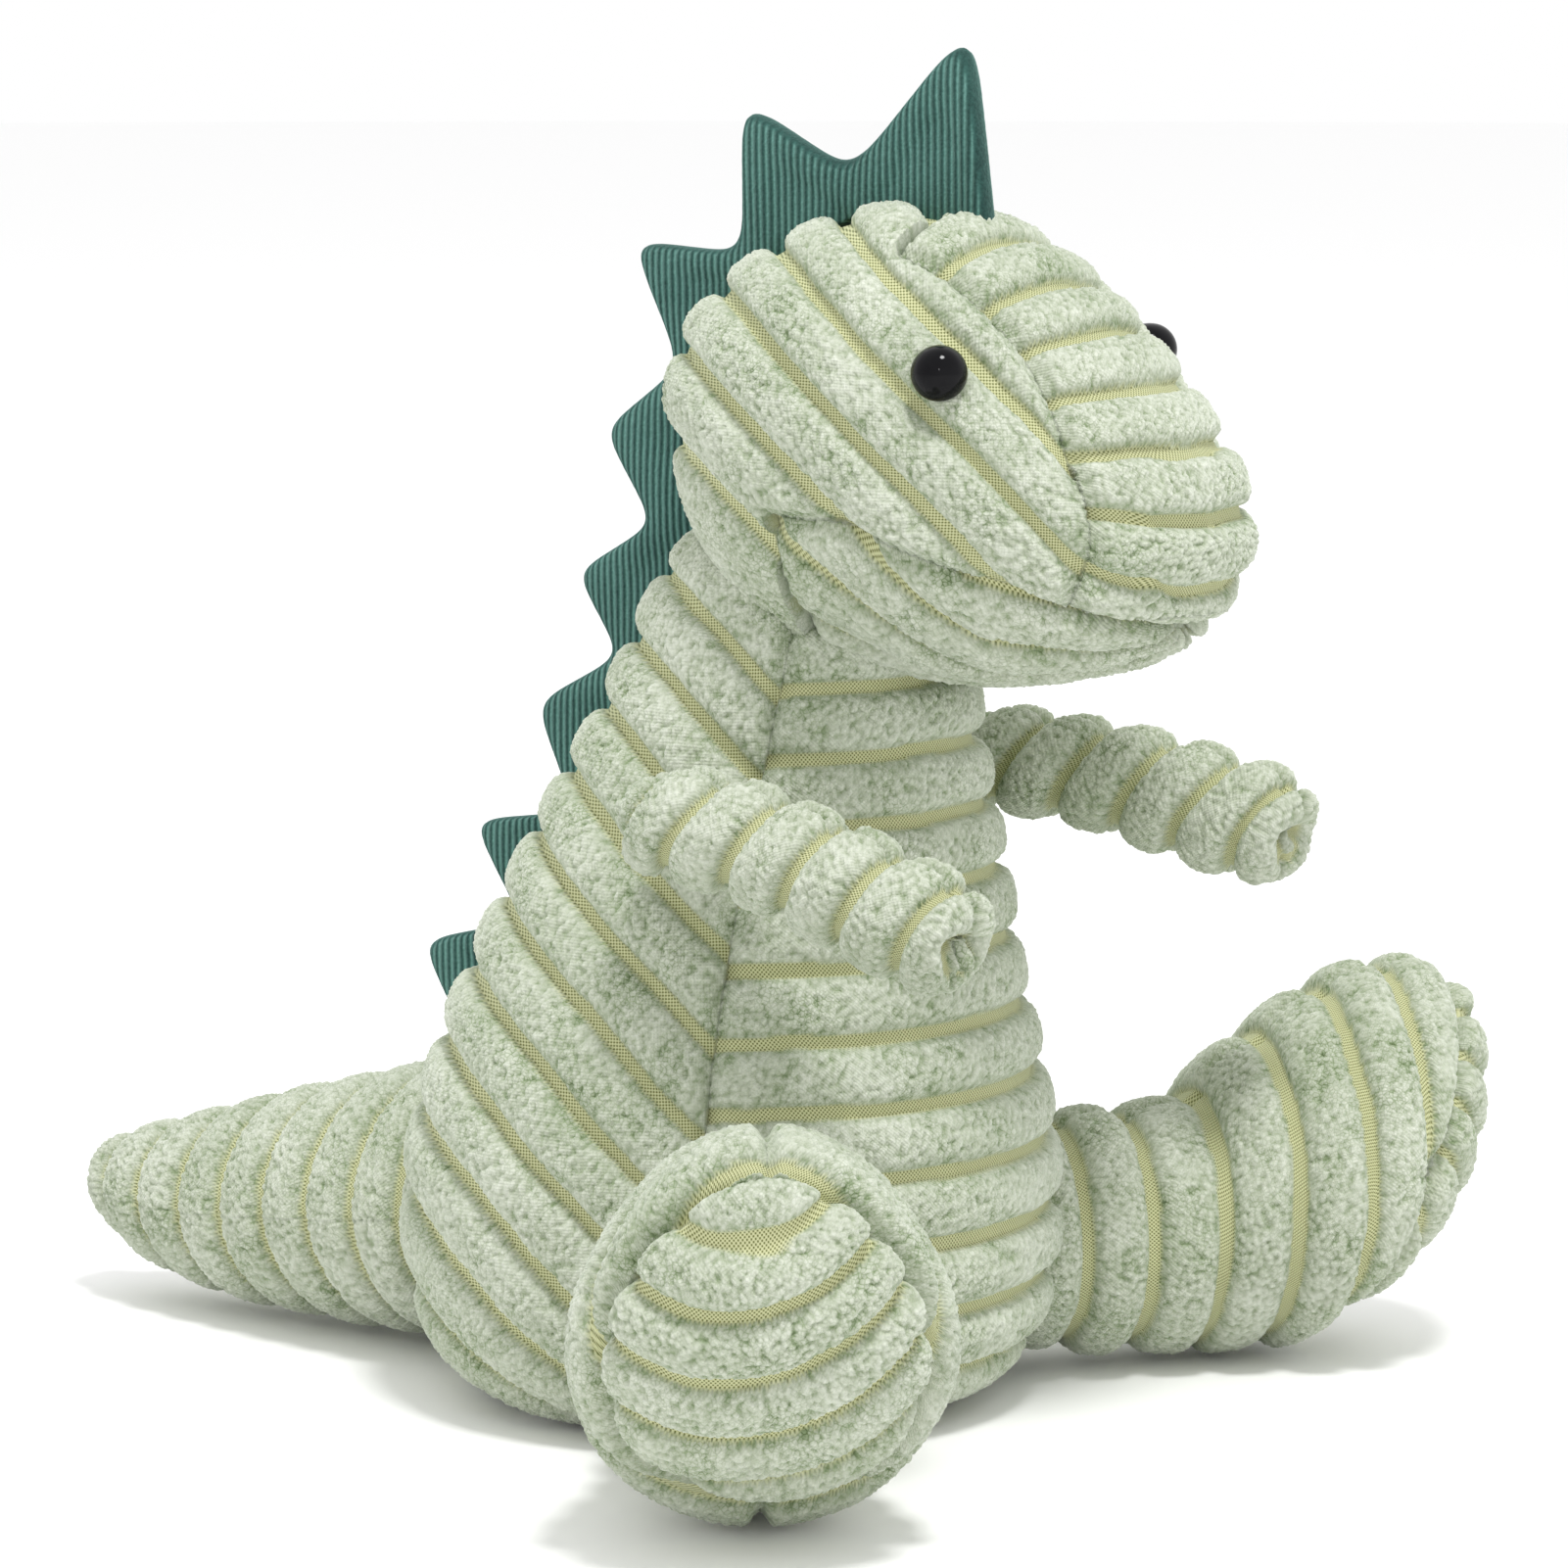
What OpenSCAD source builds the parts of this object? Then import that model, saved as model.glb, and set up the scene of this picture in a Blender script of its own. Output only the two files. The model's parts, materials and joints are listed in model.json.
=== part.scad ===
// Sitting stuffed dinosaur: sewn covers over fibre stuffing, a fabric crest along the spine, safety eyes.
// The toy faces -Y, its left side is +X, +Z is up, and it sits on Z = 0.

/* [Torso] */
// Widest radius of the pear-shaped torso
torso_r = 73; // [69:0.5:74]
// Height of the neck's turning point above the seat
neck_z = 182; // [180:1:184]
// Radius of the round flat seat panel
seat_r = 48; // [45:1:49]
// Half angle of the belly panel, seen from above
belly_angle = 60; // [50:1:66]

/* [Head] */
// Length of the head from the back to the nose
head_l = 138; // [134:1:142]
// Greatest half width of the head
head_a = 52; // [48:0.5:53]
// Half width of the panel that runs from the crest down over the muzzle
gusset_a = 26; // [20:1:30]
// Diameter of each eye's dome
eye_d = 12; // [9:0.5:14]

/* [Limbs] */
// Distance from a shoulder's pivot to the end of the paw
arm_l = 83; // [76:1:88]
// Radius of the arms
arm_r = 13; // [11:0.5:13]
// Distance from a hip's pivot to the middle of the foot
leg_l = 112; // [108:1:116]
// Angle between each leg and straight ahead
leg_yaw = 52; // [49:1:55]
// Reach of the tail behind the torso's axis
tail_l = 193; // [186:1:198]

/* [Fabric] */
// Thickness of the sewn cover, backing and pile together
cover_t = 2.6; // [2:0.2:3]
// Thickness of the crest, two layers of corduroy
crest_t = 4.4; // [3:0.2:6]

/* [Hidden] */

$fn = 48;
SIDES = 20;
LIMB_SIDES = 16;
SLACK = 0.4;          // gap between a cover and its stuffing
PLAY = 0.8;           // gap between bodies that turn against each other
FAR = 400;            // larger than the toy, for cutting blocks
SAGE = [0.69, 0.77, 0.63];
TEAL = [0.16, 0.42, 0.37];

// The middle of the toy's footprint is moved onto the origin.
ORIGIN = [0, -34.45, 0];

// ---- pivots ----
lean = 7.5;           // the torso leans forward by this angle
foot_y = 10.5;        // where the torso's axis meets the seat
neck_run = neck_z / cos(lean);
neck = [0, foot_y - neck_run * sin(lean), neck_z];
neck_ball_r = 36;
shoulder = [62, -24, 137];
arm_drop = [1.4, 0.85];   // right and left paw, as a share of the drop in ARM
hip_reach = 46;
hip_z = 33;
hip_ball_r = 26;
body_y = 6;
seat_y = 4;
tail_pivot = [0, 48, 38];
tail_ball_r = 31;
dome_depth = 0.7;     // how far a limb's round root reaches behind its pivot, as a share of its radius
eye_at = [41.5, -75.8, 232.1];
eye_out = [0.80, -0.42, 0.43];

function hip(side) = [side * hip_reach * sin(leg_yaw), body_y - hip_reach * cos(leg_yaw), hip_z];

// ---- rings and lofts ----

// Points of an oval ring: centre c, half width a, half heights up and down, facing yaw and pitch.
// Yaw 0 faces -Y and grows towards +X; pitch tips the facing direction up.
function ring(c, a, up, down, yaw, pitch, n) = [
    for (i = [0 : n - 1])
        let (
            t = 360 * (i + 0.5) / n,
            p = a * cos(t),
            q = (sin(t) > 0 ? up : down) * sin(t)
        )
        [
            c[0] + p * cos(yaw) - q * sin(yaw) * sin(pitch),
            c[1] + p * sin(yaw) + q * cos(yaw) * sin(pitch),
            c[2] + q * cos(pitch)
        ]
];

// Skins a list of rings with the same number of points; the ends are closed flat.
module loft(rings) {
    n = len(rings[0]);
    m = len(rings);
    points = [for (r = rings) for (p = r) p];
    walls = [
        for (j = [0 : m - 2])
            for (i = [0 : n - 1])
                let (k = (i + 1) % n)
                each [
                    [j * n + i, (j + 1) * n + k, j * n + k],
                    [j * n + i, (j + 1) * n + i, (j + 1) * n + k]
                ]
    ];
    first = [for (i = [0 : n - 1]) i];
    last = [for (i = [n - 1 : -1 : 0]) (m - 1) * n + i];
    polyhedron(points, concat([first], walls, [last]), convexity = 6);
}

// ---- torso: height along the leaning axis, radius as a share of the widest one ----
TORSO = [
    [-12, 0.52], [0, 0.70], [4, 0.80], [13, 0.92], [28, 0.985], [46, 1.0], [62, 0.985],
    [80, 0.92], [100, 0.835], [123, 0.74], [145, 0.63], [165, 0.53], [neck_run, 0.455]
];

// Points [radius, height] of the torso's side, moved in by inset.
function side_line(inset) = [for (s = TORSO) [s[1] * torso_r - inset, s[0]]];

// Turns an outline [radius, height] round the leaning axis and cuts it level at floor_z.
module leaning(outline, floor_z) {
    intersection() {
        translate([0, foot_y, 0])
            rotate([lean, 0, 0])
                rotate_extrude(convexity = 4)
                    polygon(outline);
        translate([-FAR / 2, -FAR / 2, floor_z])
            cube(FAR);
    }
}

// A sector of the torso's cover, open at the neck and at the seat; angles are counted from +X.
module torso_wall(from, sweep) {
    inner = side_line(cover_t);
    n = len(inner);
    outline = concat(side_line(0), [for (i = [n - 1 : -1 : 0]) inner[i]]);
    difference() {
        intersection() {
            translate([0, foot_y, 0])
                rotate([lean, 0, 0])
                    rotate([0, 0, from])
                        rotate_extrude(angle = sweep, convexity = 4)
                            polygon(outline);
            translate([-FAR / 2, -FAR / 2, 0])
                cube(FAR);
        }
        pockets();
    }
}

// Stuffing, whose round top is the ball that the head turns on.
module torso_core() {
    r = neck_ball_r - cover_t - SLACK;
    dome = [for (a = [15 : 15 : 90]) [r * cos(a), neck_run + r * sin(a)]];
    leaning(concat([[0, TORSO[0][0]]], side_line(cover_t + SLACK), dome), cover_t + SLACK);
}

// A round cup behind a pivot that flares outward, so that a limb can turn in it.
module cup(r) {
    rotate_extrude()
        polygon([[0, -dome_depth * r - PLAY - 1], [0.74 * r, -dome_depth * r - PLAY - 1],
                 [r + PLAY, -0.25 * r], [r + PLAY + 1.2, 0], [r + 26, 46], [0, 46]]);
}

module hip_pocket(side) {
    translate(hip(side))
        rotate([0, 0, side * leg_yaw])
            rotate([90, 0, 0])
                cup(hip_ball_r);
}

module tail_pocket() {
    translate(tail_pivot)
        rotate([-90, 0, 0])
            cup(tail_ball_r);
}

module pockets() {
    hip_pocket(1);
    hip_pocket(-1);
    tail_pocket();
}

// Everything on one side of the middle plane.
module half(side) {
    translate([side > 0 ? 0 : -FAR, -FAR, -FAR])
        cube([FAR, 2 * FAR, 2 * FAR]);
}

module body_side(side) {
    sweep = 180 - belly_angle;
    color(SAGE) torso_wall(side > 0 ? 90 - sweep : 90, sweep);
}

module belly_panel() {
    color(SAGE) torso_wall(270 - belly_angle, 2 * belly_angle);
}

module seat_panel() {
    color(SAGE)
        translate([0, seat_y, 0])
            cylinder(r = seat_r - cover_t, h = cover_t);
}

// A flattened bag of pellets low in the stuffing keeps the toy upright.
pouch_r = 15;
pouch_h = 26;
pouch_edge = 7;
pouch_y = 2;
pouch_z = 5;

module pouch_shape(extra) {
    translate([0, pouch_y, pouch_z])
        rotate_extrude()
            polygon([[0, -extra], [pouch_r - pouch_edge, -extra], [pouch_r + extra, pouch_edge],
                     [pouch_r + extra, pouch_h - pouch_edge], [pouch_r - pouch_edge, pouch_h + extra],
                     [0, pouch_h + extra]]);
}

module pellet_pouch() {
    color("ivory") pouch_shape(0);
}

module body_fill() {
    color("white")
        difference() {
            torso_core();
            pockets();
            pouch_shape(SLACK);
        }
}

// ---- head: share of the length, middle z, half height up, down, half width as a share ----
HEAD_BACK = 15;
HEAD = [
    [0.004, 222, 6, 6, 0.10], [0.03, 221, 18, 20, 0.36], [0.09, 218, 31, 34, 0.60], [0.20, 216, 43, 48, 0.84],
    [0.34, 215, 51, 53, 0.97], [0.48, 214, 53, 53, 1.0], [0.62, 210, 50, 49, 0.95], [0.75, 205, 42, 41, 0.84],
    [0.86, 200, 33, 32, 0.68], [0.94, 198, 22, 22, 0.48], [0.985, 197, 11, 11, 0.25], [0.999, 197, 3, 3, 0.08]
];

function head_rings(inset) = [
    for (s = HEAD)
        ring(
            [0, HEAD_BACK - inset - s[0] * (head_l - 2 * inset), s[1]],
            max(s[4] * head_a - inset, 1), max(s[2] - inset, 1), max(s[3] - inset, 1), 0, 0, SIDES
        )
];

module head_solid(inset) {
    loft(head_rings(inset));
}

// Space under the head that the ball of the neck and the torso's shoulders take up while it nods.
module neck_room() {
    r = neck_ball_r + PLAY;
    dome = [for (a = [0 : 15 : 90]) [r * cos(a), r * sin(a)]];
    translate(neck)
        rotate_extrude()
            polygon(concat([[0, -44], [78, -44], [r + 1, -2]], dome));
}

module head_shell() {
    difference() {
        head_solid(0);
        head_solid(cover_t);
        neck_room();
        for (side = [-1, 1]) eye_tool(side, 2.4, 12);
    }
}

module gusset_block() {
    translate([-gusset_a, -FAR, 191])
        cube([2 * gusset_a, FAR - 60, FAR]);
}

// Below the jaw seam, which drops towards the nose.
module jaw_block() {
    translate([-FAR / 2, -63, 199])
        rotate([17.7, 0, 0])
            translate([0, -FAR + 26, -FAR])
                cube([FAR, FAR, FAR]);
}

module head_side(side) {
    color(SAGE)
        intersection() {
            difference() {
                head_shell();
                gusset_block();
                jaw_block();
            }
            half(side);
        }
}

module head_top_gusset() {
    color(SAGE)
        intersection() {
            difference() {
                head_shell();
                jaw_block();
            }
            gusset_block();
        }
}

module chin_panel() {
    color(SAGE)
        intersection() {
            head_shell();
            jaw_block();
        }
}

module head_fill() {
    color("white")
        difference() {
            head_solid(cover_t + SLACK);
            neck_room();
            for (side = [-1, 1]) eye_tool(side, 10, 13);
        }
}

// ---- eyes ----
module face_out(side) {
    tilt = acos(eye_out[2] / norm(eye_out));
    turn = atan2(eye_out[1], side * eye_out[0]);
    translate([side * eye_at[0], eye_at[1], eye_at[2]])
        rotate([0, tilt, turn])
            children();
}

// A round hole of the given depth along an eye's shank.
module eye_tool(side, r, depth) {
    face_out(side)
        translate([0, 0, -depth])
            cylinder(r = r, h = depth + 8);
}

shank_r = 2;
washer_r = 8.5;
washer_t = 1.6;
washer_depth = 6.4;

module eye(side) {
    color("black")
        face_out(side)
            union() {
                intersection() {
                    translate([0, 0, 2.2]) sphere(d = eye_d);
                    translate([0, 0, 20.5]) cube(40, center = true);
                }
                translate([0, 0, -10]) cylinder(r = shank_r, h = 11);
            }
}

module eye_washer(side) {
    color("white")
        face_out(side)
            translate([0, 0, -washer_depth - washer_t])
                difference() {
                    cylinder(r = washer_r, h = washer_t);
                    translate([0, 0, -1])
                        cylinder(r = shank_r + 0.15, h = washer_t + 2);
                }
}

// ---- crest: each spike is [valley in front, tip, valley behind] as [y, z] ----
CREST_HEAD = [
    [[-62, 262], [-54, 297], [-29, 274]],
    [[-29, 274], [0, 281], [2, 255]],
    [[2, 255], [28, 252], [19, 229]],
    [[19, 229], [35, 212], [26, 193]],
    [[26, 193], [43, 182], [34, 176]]
];
CREST_BACK = [
    [[32, 160], [54, 147], [47, 127]],
    [[47, 127], [71, 119], [62, 101]],
    [[62, 101], [87, 89], [76, 74]]
];
tip_r = 3;

// A strip of spikes with round tips, from an inner edge at depth to the tips.
module crest_outline(spikes, inner) {
    offset(r = tip_r)
        offset(delta = -tip_r)
            polygon(concat([for (s = spikes) each [s[0], s[1], s[2]]], inner));
}

module crest_plate(spikes, inner) {
    rotate([90, 0, 90])
        linear_extrude(height = crest_t, center = true)
            crest_outline(spikes, inner);
}

module crest_head() {
    color(TEAL)
        difference() {
            crest_plate(CREST_HEAD, [[22, 178], [-10, 220], [-40, 240], [-62, 240]]);
            head_solid(-0.2);
            neck_room();
        }
}

module crest_back() {
    color(TEAL)
        difference() {
            crest_plate(CREST_BACK, [[50, 74], [16, 150]]);
            leaning(concat([[0, TORSO[0][0]]], side_line(-0.2), [[0, neck_run]]), 0);
            tail_pocket();
        }
}

// ---- tail: y as a share of the reach, middle z, radius ----
TAIL = [[0.25, 38, 31], [0.39, 35, 33.5], [0.50, 32, 31], [0.60, 29.5, 28], [0.70, 27, 25], [0.80, 25.5, 21.5],
        [0.88, 25.5, 17.5], [0.94, 26.5, 13.5], [0.98, 27.5, 8.5], [0.998, 28.5, 2.5]];
TAIL_DOME = [84, 62, 40, 18];

function tail_rings(inset) = concat(
    [
        for (a = TAIL_DOME)
            let (r = tail_ball_r - inset)
            ring([0, tail_pivot[1] - dome_depth * r * sin(a), tail_pivot[2]],
                 r * cos(a), r * cos(a), r * cos(a), 180, 0, LIMB_SIDES)
    ],
    [
        for (s = TAIL)
            let (r = max(s[2] - inset, 0.8))
            ring([0, s[0] * (tail_l - inset), s[1]], r, r, r, 180, 0, LIMB_SIDES)
    ]
);

module tail_cover() {
    color(SAGE)
        difference() {
            loft(tail_rings(0));
            loft(tail_rings(cover_t));
        }
}

module tail_fill() {
    color("white") loft(tail_rings(cover_t + SLACK));
}

// ---- arms: share of the length, drop, outward drift, half width, half height ----
ARM = [[0.0, 0, 0, 1.0, 1.0], [0.18, -1, 1, 1.0, 1.0], [0.36, -3, 2, 1.0, 1.04], [0.54, -6, 3, 1.02, 1.06],
       [0.70, -9, 3, 1.04, 1.06], [0.84, -11.5, 3, 1.0, 1.04], [0.93, -12.5, 3, 0.86, 0.92],
       [0.98, -13, 3, 0.6, 0.64], [0.998, -13, 3, 0.2, 0.2]];
ARM_DOME = [84, 60, 35];

function arm_rings(side, inset) = concat(
    [
        for (a = ARM_DOME)
            let (r = arm_r - inset)
            ring([side * shoulder[0], shoulder[1] + r * sin(a), shoulder[2]], r * cos(a), r * cos(a), r * cos(a),
                 0, 0, LIMB_SIDES)
    ],
    [
        for (s = ARM)
            let (w = max(s[3] * arm_r - inset, 0.6), h = max(s[4] * arm_r - inset, 0.6))
            ring([side * (shoulder[0] + s[2]), shoulder[1] - s[0] * (arm_l - inset),
                  shoulder[2] + s[1] * arm_drop[side < 0 ? 0 : 1]],
                 w, h, h, 0, -10, LIMB_SIDES)
    ]
);

// Each arm's cover is two panels, one facing out and one facing the body.
module arm_panel(side, part) {
    color(SAGE)
        intersection() {
            difference() {
                loft(arm_rings(side, 0));
                loft(arm_rings(side, cover_t));
            }
            translate([side * shoulder[0], 0, 0]) half(part);
        }
}

module arm_fill(side) {
    color("white") loft(arm_rings(side, cover_t + SLACK));
}

// ---- legs: distance from the pivot, middle z, half width, half height, pitch ----
LEG = [
    [0, 33, 26, 26, 0], [18, 31, 25.5, 26, 0], [38, 30, 27, 28, 0], [56, 30, 29, 29.5, 0], [70, 36.5, 32.5, 36, -2],
    [84, 45, 36, 44.5, -8], [98, 49.5, 38, 49, -16], [112, 50.5, 38, 48.5, -22]
];
SOLE = [[112, 50.5, 38, 48.5], [118, 49, 34.5, 45], [123, 47.5, 27, 37], [126.5, 46.5, 17, 25], [128, 46, 6, 10]];
LEG_DOME = [84, 60, 36, 14];
foot_pitch = -22;
sole_back = 2.2;      // the sole's seam lies this far behind the foot's widest ring

// A ring across the leg, in its own direction from the hip.
function leg_ring(side, s, z, a, b, pitch, inset) =
    let (yaw = side * leg_yaw, h = hip(side), k = leg_l / 112)
    ring([h[0] + s * k * sin(yaw), h[1] - s * k * cos(yaw), z],
         max(a - inset, 0.8), max(b - inset, 0.8), max(b - inset, 0.8), yaw, pitch, LIMB_SIDES);

function leg_rings(side, inset) = concat(
    [
        for (a = LEG_DOME)
            let (r = hip_ball_r - inset)
            leg_ring(side, -dome_depth * r * sin(a), hip_z, r * cos(a), r * cos(a), 0, 0)
    ],
    [for (s = LEG) leg_ring(side, s[0], s[1], s[2], s[3], s[4], inset)],
    [for (i = [1 : len(SOLE) - 1]) let (s = SOLE[i]) leg_ring(side, s[0] - inset, s[1], s[2], s[3], foot_pitch, inset)]
);

module leg_shell(side) {
    difference() {
        loft(leg_rings(side, 0));
        loft(leg_rings(side, cover_t));
    }
}

// In front of the seam that joins the sole to the foot.
module sole_block(side) {
    h = hip(side);
    k = leg_l / 112;
    translate([h[0], h[1], 0])
        rotate([0, 0, side * leg_yaw])
            translate([0, -(LEG[7][0] - sole_back) * k, LEG[7][1]])
                rotate([-foot_pitch, 0, 0])
                    translate([-FAR / 2, -FAR, -FAR / 2])
                        cube([FAR, FAR, FAR]);
}

module leg_half(side, part) {
    h = hip(side);
    translate([h[0], h[1], 0])
        rotate([0, 0, side * leg_yaw])
            half(part);
}

module leg_panel(side, part) {
    color(SAGE)
        intersection() {
            difference() {
                leg_shell(side);
                sole_block(side);
            }
            leg_half(side, part);
        }
}

module sole(side) {
    color(SAGE)
        intersection() {
            leg_shell(side);
            sole_block(side);
        }
}

module leg_fill(side) {
    color("white") loft(leg_rings(side, cover_t + SLACK));
}

// ---- the nodes, moved so that the footprint's middle is at the origin ----
translate(ORIGIN) {
    body_side(-1);  // body_side_right
    body_side(1);  // body_side_left
    belly_panel();
    seat_panel();
    body_fill();
    pellet_pouch();
    crest_back();
    head_side(-1);  // head_side_right
    head_side(1);  // head_side_left
    head_top_gusset();
    chin_panel();
    head_fill();
    crest_head();
    eye(-1);  // eye_right
    eye(1);  // eye_left
    eye_washer(-1);  // eye_washer_right
    eye_washer(1);  // eye_washer_left
    tail_cover();
    tail_fill();
    arm_panel(-1, -1);  // arm_outer_right
    arm_panel(-1, 1);  // arm_inner_right
    arm_fill(-1);  // arm_fill_right
    arm_panel(1, 1);  // arm_outer_left
    arm_panel(1, -1);  // arm_inner_left
    arm_fill(1);  // arm_fill_left
    leg_panel(-1, -1);  // leg_outer_right
    leg_panel(-1, 1);  // leg_inner_right
    sole(-1);  // sole_right
    leg_fill(-1);  // leg_fill_right
    leg_panel(1, 1);  // leg_outer_left
    leg_panel(1, -1);  // leg_inner_left
    sole(1);  // sole_left
    leg_fill(1);  // leg_fill_left
}
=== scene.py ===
import json
import math

import bpy
import numpy as np
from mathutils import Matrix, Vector


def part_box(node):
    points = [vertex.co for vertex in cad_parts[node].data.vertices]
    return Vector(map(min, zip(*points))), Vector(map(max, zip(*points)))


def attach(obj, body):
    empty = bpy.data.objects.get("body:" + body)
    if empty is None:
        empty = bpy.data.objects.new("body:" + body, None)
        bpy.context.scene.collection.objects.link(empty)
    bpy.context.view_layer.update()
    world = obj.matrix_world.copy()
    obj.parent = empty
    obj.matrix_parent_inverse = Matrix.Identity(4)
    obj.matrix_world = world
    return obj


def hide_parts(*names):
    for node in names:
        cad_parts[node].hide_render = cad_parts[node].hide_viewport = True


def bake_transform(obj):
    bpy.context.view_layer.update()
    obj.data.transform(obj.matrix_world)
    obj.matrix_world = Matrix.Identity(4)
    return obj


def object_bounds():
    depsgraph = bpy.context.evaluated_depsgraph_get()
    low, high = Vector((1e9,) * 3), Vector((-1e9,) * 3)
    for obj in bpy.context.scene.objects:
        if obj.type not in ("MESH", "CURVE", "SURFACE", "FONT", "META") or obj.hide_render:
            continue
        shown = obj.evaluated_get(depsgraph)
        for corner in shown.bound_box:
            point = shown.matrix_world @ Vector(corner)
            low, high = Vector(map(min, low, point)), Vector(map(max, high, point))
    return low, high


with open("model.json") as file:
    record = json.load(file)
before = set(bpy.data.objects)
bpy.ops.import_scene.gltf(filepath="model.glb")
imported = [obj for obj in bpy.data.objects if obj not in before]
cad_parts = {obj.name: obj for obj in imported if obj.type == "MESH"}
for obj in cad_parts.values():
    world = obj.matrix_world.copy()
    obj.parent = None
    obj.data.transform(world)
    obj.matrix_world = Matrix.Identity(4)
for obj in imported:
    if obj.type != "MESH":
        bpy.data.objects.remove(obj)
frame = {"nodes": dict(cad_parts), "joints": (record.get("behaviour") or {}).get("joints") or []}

# Lengths in this script are millimetres until a mesh is made; MM turns them into Blender's metres.
MM = 0.001
cad_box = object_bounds()

# ---------------------------------------------------------------- fabric
GRID = 0.58     # spacing of a cover's vertices
PITCH = 15.6                           # from one rib of the plush to the next
CHANNEL = 2.9                          # width of the woven strip between two ribs
PILE = 3.5                             # height of the pile above the weave
INSET = 3.9                            # how far the weave lies inside the CAD cover's face
TUFT = 1.3                             # distance between tufts of pile
TUFT_DEPTH = 0.95
SEAM_REACH = 5.0                       # how far from a seam the cover is drawn in
SEAM_DEPTH = 1.7
STUFFING_DEPTH = 8.0                   # how far the stuffing lies inside the CAD cover's face
STUFFING_GRID = 2.4
STUFFING_LUMPS = 3.0                   # height of the stuffing's lumps
THINNEST_STUFFING = 3                  # half thickness below which a cover holds none
STUFFING_CLEARANCE = 3                 # height of the lowest stuffing above the floor
COVER_CLEARANCE = 0.15                 # height of the lowest cover above the floor
NO_SEAM = 99                           # distance to a seam that is too far off to matter
HEM = 3.0                              # seam allowance turned to the inside
PUFF = 1.0                             # unevenness of the stuffing
THREAD = 0.95                          # distance between threads of the weave


def pivot(joint):
    """A joint's place, in millimetres."""
    spec = next(j for j in frame["joints"] if j["name"] == joint)
    return np.array(spec["pos_m"]) / MM


def box(node):
    low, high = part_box(node)
    return np.array(low) / MM, np.array(high) / MM


NECK = pivot("neck_nod")
TAIL = pivot("tail_wag")
HIP = {"right": pivot("leg_right_splay"), "left": pivot("leg_left_splay")}
SHOULDER = {"right": pivot("arm_right_swing"), "left": pivot("arm_left_swing")}
SIGN = {"right": -1, "left": 1}
TORSO_R = box("body_side_left")[1][0]
HEAD_LOW, HEAD_HIGH = box("head_side_right")
NOSE_Y = min(box("head_top_gusset")[0][1], box("chin_panel")[0][1])
HEAD_A = -HEAD_LOW[0]


# ---------------------------------------------------------------- numbers
def smoothstep(low, high, x):
    t = np.clip((x - low) / (high - low), 0.0, 1.0)
    return t * t * (3 - 2 * t)


def lattice(i, j, k, seed):
    """A steady pseudo-random number from 0 to 1 for each cell of a 3-D lattice."""
    h = (i.astype(np.int64) * 374761393 + j.astype(np.int64) * 668265263
         + k.astype(np.int64) * 2147483647 + seed * 1274126177) & 0xFFFFFFFF
    h = ((h ^ (h >> 13)) * 1274126177) & 0xFFFFFFFF
    h = ((h ^ (h >> 16)) * 2246822519) & 0xFFFFFFFF
    return ((h ^ (h >> 15)) & 0xFFFFFF) / float(0xFFFFFF)


def noise(points, size, seed):
    """Smooth value noise from 0 to 1 with cells of the given size."""
    q = points / size
    cell = np.floor(q)
    f = q - cell
    f = f * f * (3 - 2 * f)
    total = np.zeros(len(points))
    for corner in range(8):
        step = np.array([corner & 1, corner >> 1 & 1, corner >> 2 & 1])
        weight = np.prod(np.where(step == 1, f, 1 - f), axis=1)
        c = cell + step
        total += weight * lattice(c[:, 0], c[:, 1], c[:, 2], seed)
    return total


def tufts(points, size, seed):
    """Round-topped tufts: 1 at a tuft's middle, falling to 0 between tufts."""
    q = points / size
    cell = np.floor(q)
    nearest = np.full(len(points), 9.0)
    for dx in (-1, 0, 1):
        for dy in (-1, 0, 1):
            for dz in (-1, 0, 1):
                c = cell + np.array([dx, dy, dz])
                away = np.zeros(len(points))
                for axis in range(3):
                    spot = c[:, axis] + lattice(c[:, 0], c[:, 1], c[:, 2], seed + axis * 17)
                    away += (q[:, axis] - spot) ** 2
                np.minimum(nearest, away, out=nearest)
    return np.clip(1 - nearest / 0.75, 0, 1)


def curve(table, t):
    """Smooth curve through the rows of a table at t, which is in the unit of the table's first column."""
    table = np.asarray(table, float)
    x, y = table[:, 0], table[:, 1:]
    slope = np.gradient(y, x, axis=0)
    for i in range(1, len(x) - 1):     # no overshoot where a column turns or stays level
        before = (y[i] - y[i - 1]) / (x[i] - x[i - 1])
        after = (y[i + 1] - y[i]) / (x[i + 1] - x[i])
        slope[i] = np.where(before * after <= 0, 0, slope[i])
    i = np.clip(np.searchsorted(x, t) - 1, 0, len(x) - 2)
    span = x[i + 1] - x[i]
    s = ((t - x[i]) / span)[:, None]
    span = span[:, None]
    return ((2 * s**3 - 3 * s**2 + 1) * y[i] + (s**3 - 2 * s**2 + s) * span * slope[i]
            + (-2 * s**3 + 3 * s**2) * y[i + 1] + (s**3 - s**2) * span * slope[i + 1])


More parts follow.
